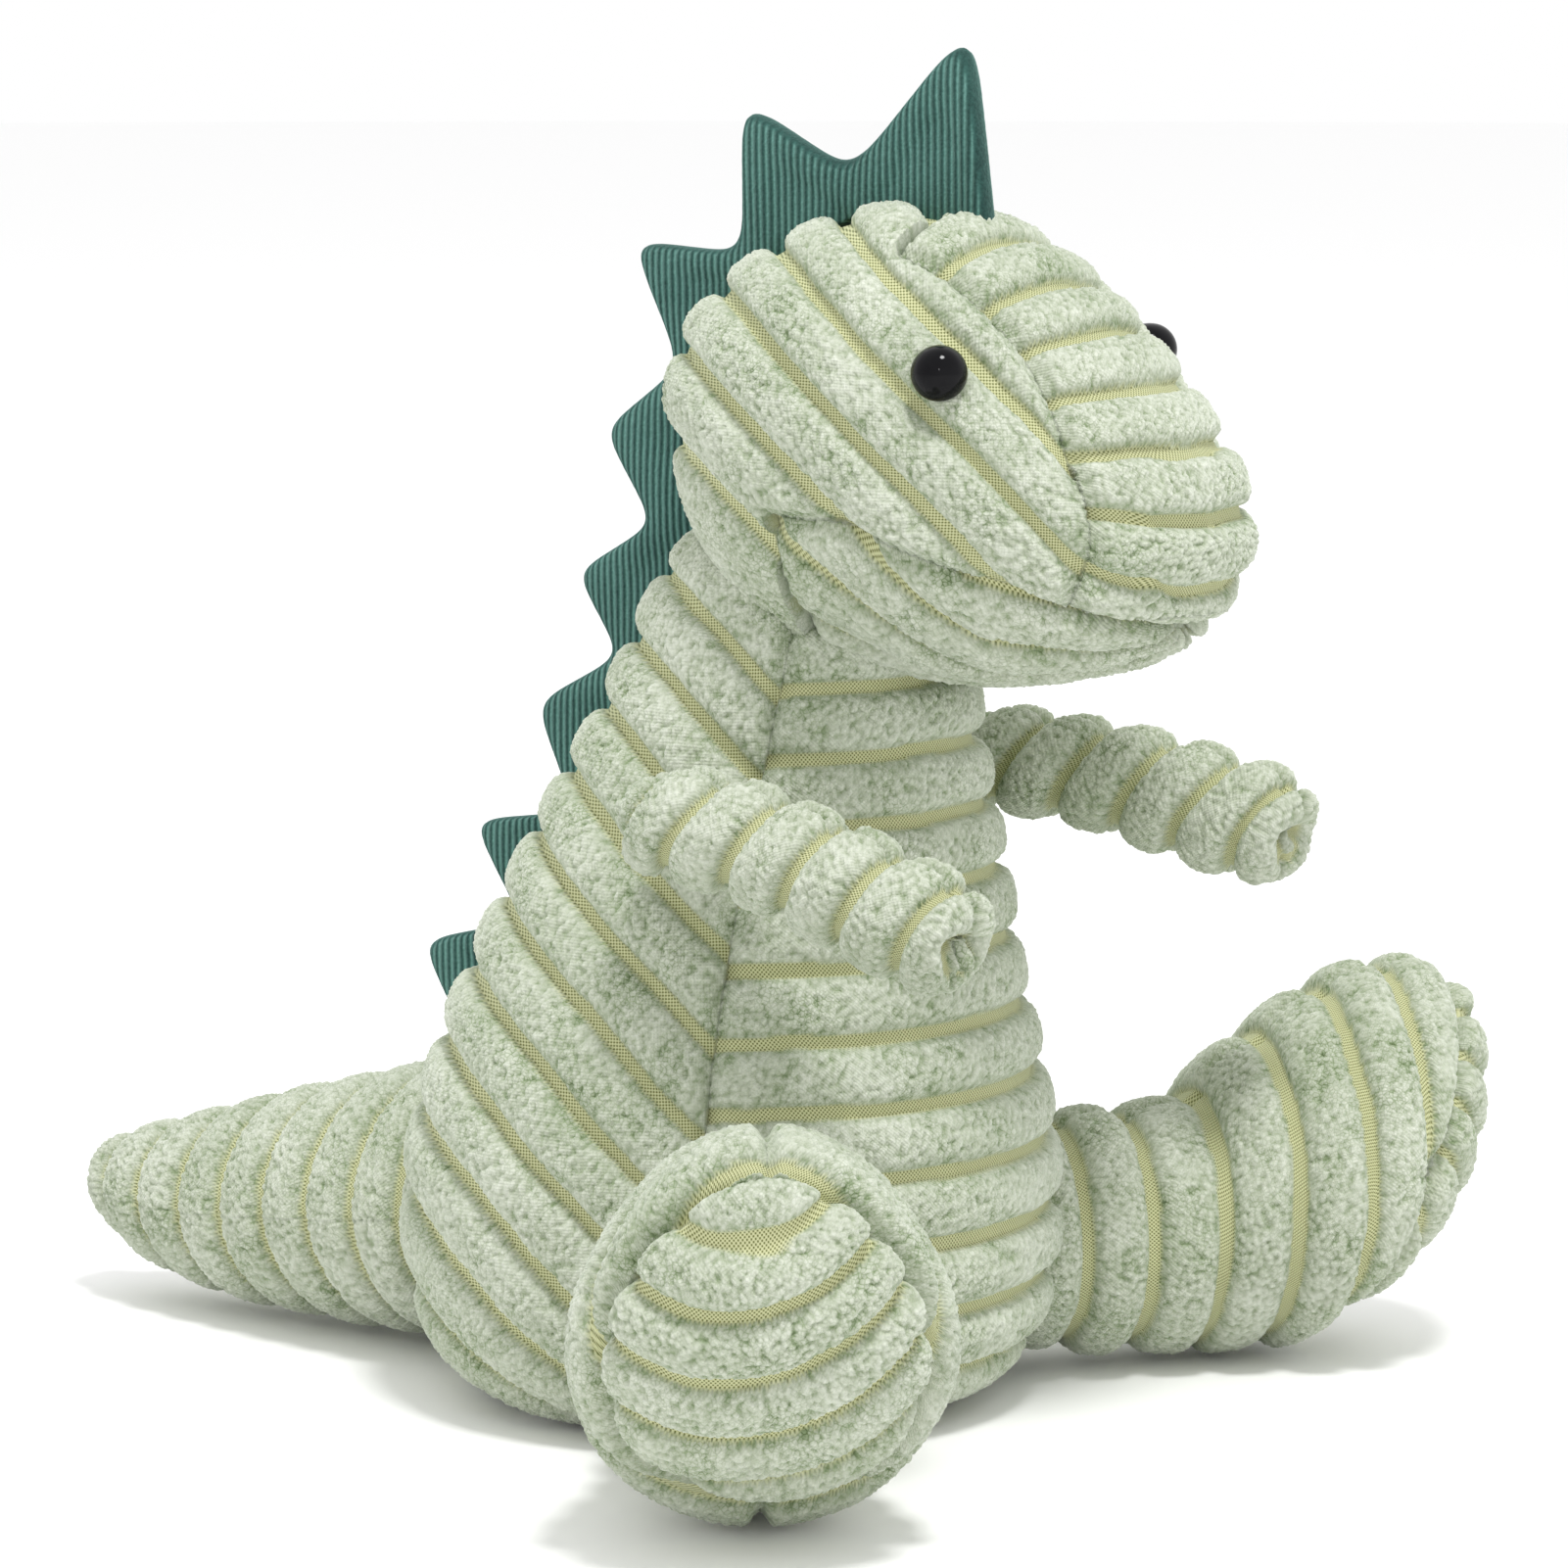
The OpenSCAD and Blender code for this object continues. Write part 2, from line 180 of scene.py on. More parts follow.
# ---------------------------------------------------------------- the stuffed shapes
class Stuffed:
    """A closed stuffed shape, skinned over ovals that stand along a limb.

    Rows of the table: station, forward, height, half width, half height up, half height down, pitch, egg.
    Forward is counted from origin in the direction yaw: 0 faces -Y, 90 faces +X. The ovals tip by pitch,
    and egg narrows their upper half and widens the lower one.
    """

    def __init__(self, origin, yaw, table, grid=GRID):
        self.origin = origin
        self.yaw = math.radians(yaw)
        self.table = np.asarray(table, float)
        first, last = self.table[0, 0], self.table[-1, 0]
        fine = np.linspace(first, last, 1500)
        ovals = curve(self.table, fine)
        sides = [self.local(np.full(len(fine), angle), ovals) for angle in np.radians([1, 91, 181, 271])]
        steps = np.mean([np.linalg.norm(np.diff(side, axis=0), axis=1) for side in sides], axis=0)
        run = np.concatenate([[0], np.cumsum(steps)])
        rows = int(run[-1] / grid) + 1
        self.run = np.linspace(0, run[-1], rows)
        station = np.interp(self.run, run, fine)
        oval = curve(self.table, station)
        girth = np.pi * (oval[:, 2] + (oval[:, 3] + oval[:, 4]) / 2)
        self.cols = int(np.percentile(girth, 80) / grid)
        self.rows = rows
        u = 2 * np.pi * np.arange(self.cols) / self.cols
        self.u = np.tile(u, rows)
        self.oval = np.repeat(oval, self.cols, axis=0)
        self.length = np.repeat(self.run, self.cols)
        self.station = np.repeat(station, self.cols)
        self.flat = self.local(self.u, self.oval)
        self.points = self.world(self.flat)
        self.normals = self.find_normals(self.points)

    @staticmethod
    def local(u, oval):
        """Sideways, forward and height of the surface."""
        forward, height, a, up, down, pitch, egg = oval.T
        pitch = np.radians(pitch)
        a = a * (1 - egg * np.sin(u))
        q = np.where(np.sin(u) > 0, up, down) * np.sin(u)
        return np.stack([a * np.cos(u), forward - q * np.sin(pitch), height + q * np.cos(pitch)], axis=1)

    def world(self, local):
        p, s, z = local.T
        return np.stack([
            self.origin[0] + s * math.sin(self.yaw) + p * math.cos(self.yaw),
            self.origin[1] - s * math.cos(self.yaw) + p * math.sin(self.yaw),
            z,
        ], axis=1)

    def find_normals(self, points):
        grid = points.reshape(self.rows, self.cols, 3)
        around = np.roll(grid, -1, axis=1) - np.roll(grid, 1, axis=1)
        along = np.gradient(grid, axis=0)
        n = np.cross(around, along).reshape(-1, 3)
        size = np.linalg.norm(n, axis=1, keepdims=True)
        n = n / np.maximum(size, 1e-9)
        middle = np.repeat(grid.mean(axis=1), self.cols, axis=0)
        if np.mean(np.sum(n * (points - middle), axis=1)) < 0:
            n = -n
        for end in (0, self.rows - 1):
            row = slice(end * self.cols, (end + 1) * self.cols)
            inner = slice((1 if end == 0 else end - 1) * self.cols, (2 if end == 0 else end) * self.cols)
            n[row] = n[inner].mean(axis=0) / max(np.linalg.norm(n[inner].mean(axis=0)), 1e-9)
        return n


def rib_height(w):
    """Height of the pile, 0 in a channel and 1 on top of a rib, and the distance from the rib's middle."""
    x = np.abs(((w / PITCH) % 1.0) * 2 - 1)
    across = x / (1 - CHANNEL / PITCH)
    return np.clip(1 - np.clip(across, 0, 1) ** 3, 0, 1) ** 0.55, across


def slanted(across, forward, up, slant):
    """Rib and thread coordinates of a side panel whose ribs run down and forward at an angle."""
    slant = math.radians(slant)
    level = 0.82 * forward - 0.57 * np.abs(across)
    return up * math.cos(slant) + level * math.sin(slant), up * math.sin(slant) - level * math.cos(slant)


def dress(shape, w, v, seam, seed, puff=PUFF, floor=True, slim=0.0, dent=0.0, bare=0.0):
    """Turns a smooth shape into ribbed plush.

    w runs across the ribs, v runs along them, and seam is the distance to the nearest seam. slim and dent
    draw the cover in, everywhere and in places. bare is 1 where the weave shows through.
    """
    p = shape.points
    w = w + 1.6 * (noise(p, 30, seed) - 0.5) + 0.7 * (noise(p, 9, seed + 1) - 0.5)
    height, across = rib_height(w)
    near = smoothstep(0, SEAM_REACH, seam)
    height = height * (0.55 + 0.45 * smoothstep(0, SEAM_REACH * 0.7, seam))
    height = height * (1 - bare)
    pile = smoothstep(0.02, 0.30, height)
    tuft = tufts(p, TUFT, seed + 2)
    fluff = noise(p, 0.9, seed + 3)
    lift = PILE * height * (0.93 + 0.14 * noise(p, 12, seed + 4))
    lift += pile * TUFT_DEPTH * (tuft - 0.55) + pile * 0.35 * (fluff - 0.5)
    lift += puff * 2 * (noise(p, 38, seed + 5) - 0.5) - SEAM_DEPTH * (1 - near) ** 1.5 - INSET
    lift -= slim + dent
    points = p + shape.normals * lift[:, None]
    if floor:
        points[:, 2] = np.maximum(points[:, 2], COVER_CLEARANCE)
    # The pile's tone mixes random differences with painted shade: darker between the tufts, at the ribs'
    # edges beside the channels and along the seams' creases.
    tone_and_shade = 0.68 + 0.50 * (tuft - 0.5) + 0.16 * (fluff - 0.5) + 0.22 * (noise(p, 18, seed + 6) - 0.5)
    tone_and_shade += 0.18 * (noise(p, 5, seed + 7) - 0.5) - 0.12 * smoothstep(0.72, 1.0, across) - 0.10 * (1 - near)
    return {"points": points, "pile": pile, "tone_and_shade": np.clip(tone_and_shade, 0, 1), "w": w, "v": v}


def make_mesh(name, points, polygons, attributes):
    """A smooth mesh from rows of polygon corners; a corner of -1 marks a triangle."""
    mesh = bpy.data.meshes.new(name)
    corners = (polygons >= 0).sum(axis=1)
    loops = polygons[polygons >= 0]
    mesh.vertices.add(len(points))
    mesh.vertices.foreach_set("co", (points * MM).astype(np.float32).ravel())
    mesh.loops.add(len(loops))
    mesh.loops.foreach_set("vertex_index", loops.astype(np.int32))
    mesh.polygons.add(len(polygons))
    starts = np.concatenate([[0], np.cumsum(corners)[:-1]])
    mesh.polygons.foreach_set("loop_start", starts.astype(np.int32))
    mesh.polygons.foreach_set("use_smooth", np.ones(len(polygons), bool))
    mesh.update(calc_edges=True)
    mesh.validate()
    for key, values in attributes.items():
        if values.ndim == 1:
            layer = mesh.attributes.new(key, "FLOAT", "POINT")
            layer.data.foreach_set("value", values.astype(np.float32))
        else:
            layer = mesh.attributes.new(key, "FLOAT_VECTOR", "POINT")
            layer.data.foreach_set("vector", values.astype(np.float32).ravel())
    piece = bpy.data.objects.new(name, mesh)
    bpy.context.scene.collection.objects.link(piece)
    return piece


def grid_faces(rows, cols):
    """Corners of a closed tube's quads; the first and last rows are points, so their faces are triangles."""
    j, i = np.meshgrid(np.arange(rows - 1), np.arange(cols), indexing="ij")
    k = (i + 1) % cols
    quads = np.stack([j * cols + i, j * cols + k, (j + 1) * cols + k, (j + 1) * cols + i], axis=-1)
    quads[0, :, 0] = 0
    quads[0, :, 1] = -1
    quads[-1, :, 3] = (rows - 1) * cols
    quads[-1, :, 2] = -1
    return quads.reshape(-1, 4)


def panel_piece(name, shape, skin, faces, mask, material):
    """One sewn panel with its seam allowance turned in, as its own piece."""
    chosen = faces[mask]
    used = np.unique(chosen[chosen >= 0])
    index = np.full(len(skin["points"]) + 1, -1)
    index[used] = np.arange(len(used))
    local = index[chosen]
    points = skin["points"][used]
    inward = shape.normals[used]
    corners = np.where(local >= 0, local, np.roll(local, -1, axis=1))
    edges = np.concatenate([np.stack([corners[:, a], corners[:, (a + 1) % 4]], axis=1) for a in range(4)])
    edges = edges[edges[:, 0] != edges[:, 1]]
    undirected = np.sort(edges, axis=1)
    _, where, count = np.unique(undirected, axis=0, return_index=True, return_counts=True)
    rim = edges[where[count == 1]]
    rim_points = np.unique(rim)
    twin = np.full(len(points), -1)
    twin[rim_points] = len(points) + np.arange(len(rim_points))
    hem = np.stack([rim[:, 1], rim[:, 0], twin[rim[:, 0]], twin[rim[:, 1]]], axis=1)
    values = {}
    for key in ("pile", "tone_and_shade"):
        values[key] = np.concatenate([skin[key][used], skin[key][used][rim_points]])
    weave = np.stack([skin["w"][used], skin["v"][used], np.zeros(len(used))], axis=1)
    values["weave"] = np.concatenate([weave, weave[rim_points]])
    all_points = np.concatenate([points, points[rim_points] - HEM * inward[rim_points]])
    piece = make_mesh(name, all_points, np.concatenate([local, hem]), values)
    piece.data.materials.append(material)
    return piece


def sew(shape, skin, panels, material):
    """Splits a dressed shape into its panels. panels maps a piece's name to a mask of vertices."""
    faces = grid_faces(shape.rows, shape.cols)
    made = {}
    taken = np.zeros(len(faces), bool)
    for name, inside in panels.items():
        mask = inside[np.maximum(faces[:, 0], 0)] & ~taken
        taken |= mask
        made[name] = panel_piece("skin_" + name, shape, skin, faces, mask, material)
        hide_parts(name)
    return made


# ---------------------------------------------------------------- materials
def new_material(name):
    material = bpy.data.materials.new(name)
    material.use_nodes = True
    tree = material.node_tree
    return material, tree, tree.nodes["Principled BSDF"]


def add_node(tree, kind, **inputs):
    node = tree.nodes.new(kind)
    for key, value in inputs.items():
        node.inputs[key.replace("_", " ")].default_value = value
    return node


def math_node(tree, operation, a, b=None):
    node = tree.nodes.new("ShaderNodeMath")
    node.operation = operation
    for socket, value in zip(node.inputs, (a, b)):
        if value is None:
            continue
        if isinstance(value, (int, float)):
            socket.default_value = value
        else:
            tree.links.new(value, socket)
    return node.outputs[0]


def ramp(tree, factor, stops):
    node = tree.nodes.new("ShaderNodeValToRGB")
    elements = node.color_ramp.elements
    while len(elements) < len(stops):
        elements.new(0.5)
    for element, (place, colour) in zip(elements, stops):
        element.position = place
        element.color = (*colour, 1)
    tree.links.new(factor, node.inputs[0])
    return node.outputs[0]


def mix_colour(tree, factor, a, b):
    node = tree.nodes.new("ShaderNodeMix")
    node.data_type = "RGBA"
    tree.links.new(factor, node.inputs["Factor"])
    for socket, value in ((node.inputs[6], a), (node.inputs[7], b)):
        tree.links.new(value, socket)
    return node.outputs[2]


def attribute(tree, name, output):
    node = tree.nodes.new("ShaderNodeAttribute")
    node.attribute_name = name
    return node.outputs[output]


def noise_node(tree, scale, detail=2.0):
    coords = tree.nodes.new("ShaderNodeTexCoord")
    node = add_node(tree, "ShaderNodeTexNoise", Scale=scale, Detail=detail)
    tree.links.new(coords.outputs["Object"], node.inputs["Vector"])
    return node.outputs["Fac"]


def multiply_add(tree, a, b, c):
    """a * b + c, where c is a number."""
    result = math_node(tree, "MULTIPLY_ADD", a, b)
    result.node.inputs[2].default_value = c
    return result


def mottled(tree, shade, texture, amount):
    """A shade with a texture's ups and downs added to it."""
    swing = math_node(tree, "MULTIPLY", math_node(tree, "SUBTRACT", texture, 0.5), amount)
    return math_node(tree, "ADD", shade, swing)


def add_bump(tree, shader, height, strength, distance):
    bump = add_node(tree, "ShaderNodeBump", Strength=strength, Distance=distance)
    tree.links.new(height, bump.inputs["Height"])
    tree.links.new(bump.outputs[0], shader.inputs["Normal"])


def fabric_finish(shader, roughness, sheen, sheen_roughness, sheen_tint, specular):
    shader.inputs["Roughness"].default_value = roughness
    shader.inputs["Sheen Weight"].default_value = sheen
    shader.inputs["Sheen Roughness"].default_value = sheen_roughness
    shader.inputs["Sheen Tint"].default_value = (*sheen_tint, 1)
    shader.inputs["Specular IOR Level"].default_value = specular


# Stops of colour ramps, from crevice to crest. Their dark stops are painted shade: in the pile's crevices,
# between the weave's threads and in the corduroy's valleys.
PILE_COLOURS = (
    (0.0, (0.10, 0.14, 0.06)),
    (0.25, (0.225, 0.29, 0.16)),
    (0.55, (0.40, 0.445, 0.33)),
    (1.0, (0.635, 0.665, 0.57)),
)
WEAVE_COLOURS = (
    (0.15, (0.15, 0.165, 0.05)),
    (0.6, (0.62, 0.63, 0.37)),
)
TEAL_COLOURS = (
    (0.0, (0.010, 0.035, 0.031)),
    (0.5, (0.042, 0.12, 0.103)),
    (1.0, (0.13, 0.28, 0.245)),
)


def painted_gap_shade(tree):
    """Painted shade in the crevices between bunches of pile, darker in the patches where the pile has
    parted.
    """
    coords = tree.nodes.new("ShaderNodeTexCoord")
    cells = add_node(tree, "ShaderNodeTexVoronoi", Scale=960.0, Randomness=1.0)
    cells.feature = "DISTANCE_TO_EDGE"
    tree.links.new(coords.outputs["Object"], cells.inputs["Vector"])
    gap = math_node(tree, "MULTIPLY", math_node(tree, "SUBTRACT", 0.16, cells.outputs["Distance"]), 2.1)
    gap = math_node(tree, "MAXIMUM", gap, 0.0)
    parted = math_node(tree, "MULTIPLY", math_node(tree, "SUBTRACT", noise_node(tree, 85.0), 0.30), 3.0)
    return math_node(tree, "MULTIPLY", gap, math_node(tree, "MAXIMUM", parted, 0.15))


def basket_weave(tree):
    """Threads that cross at every THREAD, from 0 between them to 1 on top."""
    split = tree.nodes.new("ShaderNodeSeparateXYZ")
    tree.links.new(attribute(tree, "weave", "Vector"), split.inputs[0])
    turn = 2 * math.pi / THREAD
    across = math_node(tree, "SINE", math_node(tree, "MULTIPLY", split.outputs[0], turn))
    along = math_node(tree, "SINE", math_node(tree, "MULTIPLY", split.outputs[1], turn))
    return multiply_add(tree, math_node(tree, "MULTIPLY", across, along), 0.5, 0.5)


def plush_material():
    """Brushed pile with painted shade between its tufts, and a basket weave in the channels painted darker
    between its threads as shade.
    """
    material, tree, shader = new_material("plush_sage")
    fine = noise_node(tree, 900.0)
    shade = mottled(tree, attribute(tree, "tone_and_shade", "Fac"), fine, 0.5)
    shade = math_node(tree, "SUBTRACT", shade, painted_gap_shade(tree))
    basket = basket_weave(tree)
    pile = attribute(tree, "pile", "Fac")
    # The weave's colour is painted darker between its threads, and the pile's darker in its crevices, as
    # shade.
    colour = mix_colour(tree, pile, ramp(tree, basket, WEAVE_COLOURS), ramp(tree, shade, PILE_COLOURS))
    tree.links.new(colour, shader.inputs["Base Color"])
    pile_relief = math_node(tree, "MULTIPLY", fine, pile)
    relief = math_node(tree, "ADD", pile_relief, math_node(tree, "MULTIPLY", basket, 0.6))
    add_bump(tree, shader, relief, 0.55, 0.0006)
    fabric_finish(shader, 0.95, 0.35, 0.45, (0.90, 1.0, 0.86), 0.15)
    return material


def corduroy_material():
    """Fine-wale corduroy whose ridges are painted lighter and valleys darker, as light and shade."""
    material, tree, shader = new_material("corduroy_teal")
    turns = math_node(tree, "MULTIPLY", attribute(tree, "wale", "Fac"), 2 * math.pi)
    wave = multiply_add(tree, math_node(tree, "COSINE", turns), 0.5, 0.5)
    wave = math_node(tree, "MULTIPLY", wave, attribute(tree, "flat", "Fac"))
    fine = noise_node(tree, 1500.0)
    # Painted light and shade: lighter on the wales' ridges, darker in their valleys.
    shade = mottled(tree, multiply_add(tree, wave, 0.72, 0.12), fine, 0.5)
    shade = mottled(tree, shade, noise_node(tree, 70.0, 3.0), 0.4)
    tree.links.new(ramp(tree, shade, TEAL_COLOURS), shader.inputs["Base Color"])
    relief = math_node(tree, "ADD", wave, math_node(tree, "MULTIPLY", fine, 0.4))
    add_bump(tree, shader, relief, 0.9, 0.0006)
    fabric_finish(shader, 0.9, 0.3, 0.5, (0.55, 0.95, 0.85), 0.2)
    return material


def plain_material(name, dark, light, scale, roughness, bump_strength=0.0):
    """A solid colour with fine mottling."""
    material, tree, shader = new_material(name)
    fine = noise_node(tree, scale, 4.0)
    tree.links.new(ramp(tree, fine, ((0.3, dark), (0.7, light))), shader.inputs["Base Color"])
    shader.inputs["Roughness"].default_value = roughness
    if bump_strength:
        add_bump(tree, shader, fine, bump_strength, 0.0005)
    return material


PLUSH = plush_material()
CORDUROY = corduroy_material()
FIBRE = plain_material("stuffing_fibre", (0.70, 0.70, 0.68), (0.86, 0.86, 0.84), 400.0, 0.95, 0.6)
BAG = plain_material("pellet_bag", (0.55, 0.52, 0.44), (0.72, 0.69, 0.60), 900.0, 0.9, 0.4)
EYE = plain_material("eye_black", (0.003, 0.003, 0.004), (0.006, 0.006, 0.007), 200.0, 0.08)
EYE.node_tree.nodes["Principled BSDF"].inputs["Specular IOR Level"].default_value = 0.12
WASHER = plain_material("washer_plastic", (0.62, 0.62, 0.60), (0.72, 0.72, 0.70), 300.0, 0.5)


# ---------------------------------------------------------------- stuffing
def build_stuffing(name, shape, node, body, depth=STUFFING_DEPTH):
    """The lump of stuffing inside a cover, with its ends drawn in by the same depth as its sides."""
    table = shape.table.copy()
    table[:, 3:6] -= depth
    table = table[table[:, 3:6].min(axis=1) > THINNEST_STUFFING]
    stands_up = abs(table[0, 6]) > 80
    if not stands_up:
        clear_of = np.minimum(table[:, 1] - shape.table[0, 1], shape.table[-1, 1] - table[:, 1])
        table = table[clear_of > depth]
    lump = Stuffed(shape.origin, math.degrees(shape.yaw), table, STUFFING_GRID)
    swell = STUFFING_LUMPS * (noise(lump.points, 11, 7) - 0.6)
    points = lump.points + lump.normals * swell[:, None]
    points[:lump.cols] = points[:lump.cols].mean(axis=0)
    points[-lump.cols:] = points[-lump.cols:].mean(axis=0)
    points[:, 2] = np.maximum(points[:, 2], STUFFING_CLEARANCE)
    piece = make_mesh(name, points, grid_faces(lump.rows, lump.cols), {})
    piece.data.materials.append(FIBRE)
    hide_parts(node)
    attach(piece, body)


# ---------------------------------------------------------------- torso
# Rows: station, forward, height, radius as a share of the widest. The seat is flat, and the neck ends inside
# the head.
TORSO_LINE = [
    (0.0, -7, 0, 0.001),
    (0.3, -7, 0, 0.25),
    (0.6, -7, 0, 0.48),
    (0.85, -7, 0.2, 0.64),
    (1.0, -7, 2.2, 0.76),
    (1.2, -6.5, 7, 0.86),
    (1.5, -6, 15, 0.94),
    (2.0, -6, 29, 0.99),
    (2.6, -6, 46, 1.0),
    (3.2, -5.5, 62, 0.985),
    (3.8, -4.2, 80, 0.925),
    (4.5, -1.5, 100, 0.835),
    (5.3, 2.6, 123, 0.735),
    (6.0, 7, 145, 0.63),
    (6.7, 11.5, 165, 0.545),
    (7.2, 14.5, 179, 0.49),
    (7.6, 16.5, 189, 0.43),
    (7.9, 17.5, 196, 0.28),
    (8.1, 17.5, 198, 0.002),
]
TORSO_LINE_NECK = 182     # height of the neck's pivot in TORSO_LINE
WIDEST_STATION = 2.6
WIDEST_HEIGHT = 46
SEAT_STATION = 0.88       # seam between the seat and the walls
BELLY_ANGLE = math.radians(60)
BODY_SLANT = 43           # slope of the ribs on the side panels, in degrees
# The upright line that the tables of torso, head and crest count forward and back from.
TOY_Y = HIP["left"][1] + 22.3


def torso_table():
    rise = NECK[2] / TORSO_LINE_NECK
    return [(t, s, z * rise, r * TORSO_R, r * TORSO_R, r * TORSO_R, 90, 0) for t, s, z, r in TORSO_LINE]


def torso_side_ribs(shape, radius):
    """Rib and thread coordinates of the side panels.

    Below the widest place the ribs go on as they would down an upright wall.
    """
    p, s, z = shape.flat.T
    middle = shape.oval[:, 0]
    widest = np.interp(WIDEST_STATION, shape.station, shape.length)
    under = shape.length < widest
    spread = np.where(under, TORSO_R / radius, 1.0)
    wall = WIDEST_HEIGHT * NECK[2] / TORSO_LINE_NECK + shape.length - widest
    return slanted(p * spread, middle + (s - middle) * spread, np.where(under, wall, z), BODY_SLANT)


def build_torso():
    shape = Stuffed((0, TOY_Y), 0, torso_table())
    radius = np.maximum(shape.oval[:, 2], 1)
    round_angle = np.arctan2(np.cos(shape.u), -np.sin(shape.u))       # 0 in front, half a turn at the back
    from_front = np.abs(round_angle)
    seat_edge = np.interp(SEAT_STATION, shape.station, shape.length)
    climb = shape.length - seat_edge
    from_back = radius * (np.pi - from_front)
    belly_seam = radius * np.abs(from_front - BELLY_ANGLE)
    side_w, side_v = torso_side_ribs(shape, radius)
    seat = climb < 0
    belly = (from_front < BELLY_ANGLE) & ~seat
    w = np.where(seat, shape.flat[:, 1] - 5, np.where(belly, climb + 6.5, side_w + 3))
    v = np.where(seat | belly, radius * round_angle, side_v)
    seam = np.minimum(np.abs(climb), np.where(seat, NO_SEAM, belly_seam))
    seam = np.minimum(seam, np.where(seat | belly, NO_SEAM, from_back))
    skin = dress(shape, w, v, seam, 11)
    panels = {
        "seat_panel": seat,
        "belly_panel": belly,
        "body_side_right": ~seat & ~belly & (shape.flat[:, 0] < 0),
        "body_side_left": ~seat & ~belly & (shape.flat[:, 0] >= 0),
    }
    for name, piece in sew(shape, skin, panels, PLUSH).items():
        if name == "seat_panel":
            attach(piece, "torso")
        else:
            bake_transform(piece)
    build_stuffing("stuffing_body", shape, "body_fill", "torso")


# ---------------------------------------------------------------- head
# Rows: station, middle height, half height up, half height down, half width as a share of the widest.
HEAD_LINE = [
    (0.0, 222, 0.5, 0.5, 0.01),
    (0.03, 221, 18, 20, 0.36),
    (0.09, 218, 31, 34, 0.60),
    (0.20, 216, 43, 48, 0.84),
    (0.34, 215, 51, 53, 0.97),
    (0.48, 214, 53, 53, 1.0),
    (0.62, 210, 50, 49, 0.95),
    (0.75, 205, 42, 41, 0.84),
    (0.86, 200, 33, 32, 0.68),
    (0.94, 198, 22, 22, 0.48),
    (0.985, 197, 11, 11, 0.25),
    (1.0, 197, 0.5, 0.5, 0.01),
]
HEAD_LINE_NECK = 182      # height of the neck's pivot in HEAD_LINE
HEAD_SLANT = 46           # slope of the ribs on the side panels, in degrees
HEAD_MIDDLE = (50, 214)   # the muzzle panel's ribs fan out about this place
GUSSET_A = 26             # half width of the muzzle panel at the crest
GUSSET_FLARE = 6          # how much wider each half is at the nose
GUSSET_BACK = 54          # seam between the muzzle panel and the crest
GUSSET_LOWEST = 180       # the muzzle panel goes no lower than this under the nose
CHIN_BACK = 34
JAW_HEIGHT = 199          # seam between the chin and the side panels
JAW_START = 52            # the jaw line drops from here forward
JAW_DROP = 0.38


def head_table():
    back = TOY_Y - HEAD_HIGH[1]
    front = TOY_Y - NOSE_Y - 1.5
    lift = NECK[2] - HEAD_LINE_NECK
    rows = []
    for t, z, up, down, a in HEAD_LINE:
        rows.append((t, back + t * (front - back), z + lift, a * HEAD_A, up, down, 0, 0))
    return rows


def build_head():
    shape = Stuffed((0, TOY_Y), 0, head_table())
    p, s, z = shape.flat.T
    around = np.arctan2(z - HEAD_MIDDLE[1], s - HEAD_MIDDLE[0])
    side_w, side_v = slanted(p, s, z, HEAD_SLANT)
    jaw = JAW_HEIGHT - JAW_DROP * np.maximum(s - JAW_START, 0)
    jaw_gap = np.abs(z - jaw)
    chin = (z < jaw) & (s > CHIN_BACK)
    width = GUSSET_A + GUSSET_FLARE * smoothstep(84, 110, s)
    gusset = ~chin & (np.abs(p) < width) & (s > GUSSET_BACK) & (z > GUSSET_LOWEST)
    below = np.arctan2(jaw - z, np.maximum(np.abs(p), 1))
    chin_w = 0.84 * (36 * below - 0.8 * np.minimum(s, 80)) + 7
    climb = around - 0.052
    gusset_w = climb * (65.7 - 9.7 * climb)         # ribs a little wider towards the crest
    w = np.where(gusset, gusset_w, np.where(chin, chin_w, side_w + 6))
    v = np.where(gusset, p, np.where(chin, s, side_v))
    gusset_seam = np.minimum(width - np.abs(p), np.minimum(s - GUSSET_BACK, z - jaw))
    chin_seam = np.minimum(jaw_gap, s - CHIN_BACK)
    beside = np.where((s > GUSSET_BACK) & (z > jaw), np.abs(np.abs(p) - width), NO_SEAM)
    behind = np.where(s <= GUSSET_BACK, np.abs(p), NO_SEAM)
    side_seam = np.minimum(np.minimum(beside, behind), np.where(s > CHIN_BACK, jaw_gap, NO_SEAM))
    seam = np.where(gusset, gusset_seam, np.where(chin, chin_seam, side_seam))
    skin = dress(shape, w, v, seam, 31, floor=False, slim=1.3)
    panels = {
        "head_top_gusset": gusset,
        "chin_panel": chin,
        "head_side_right": ~gusset & ~chin & (p < 0),
        "head_side_left": ~gusset & ~chin & (p >= 0),
    }
    for piece in sew(shape, skin, panels, PLUSH).values():
        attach(piece, "head")
    build_stuffing("stuffing_head", shape, "head_fill", "head", depth=11.5)
    return shape


# ---------------------------------------------------------------- tail, arms and legs
# Rows: station, forward from the pivot as a share of the reach, height, radius.
TAIL_LINE = [
    (0.0, -0.15, 40, 0.5),
    (0.04, -0.12, 40, 16),
    (0.10, -0.05, 39.5, 27),
    (0.18, 0.06, 38, 32),
    (0.30, 0.19, 35.5, 33.5),
    (0.42, 0.34, 32.5, 31),
    (0.54, 0.48, 30, 28),
    (0.66, 0.62, 27.5, 25),
    (0.78, 0.74, 26, 21.5),
    (0.87, 0.85, 25.5, 17.5),
    (0.93, 0.92, 26.5, 13.5),
    (0.97, 0.972, 27.5, 8.5),
    (1.0, 1.0, 28.5, 0.5),
]


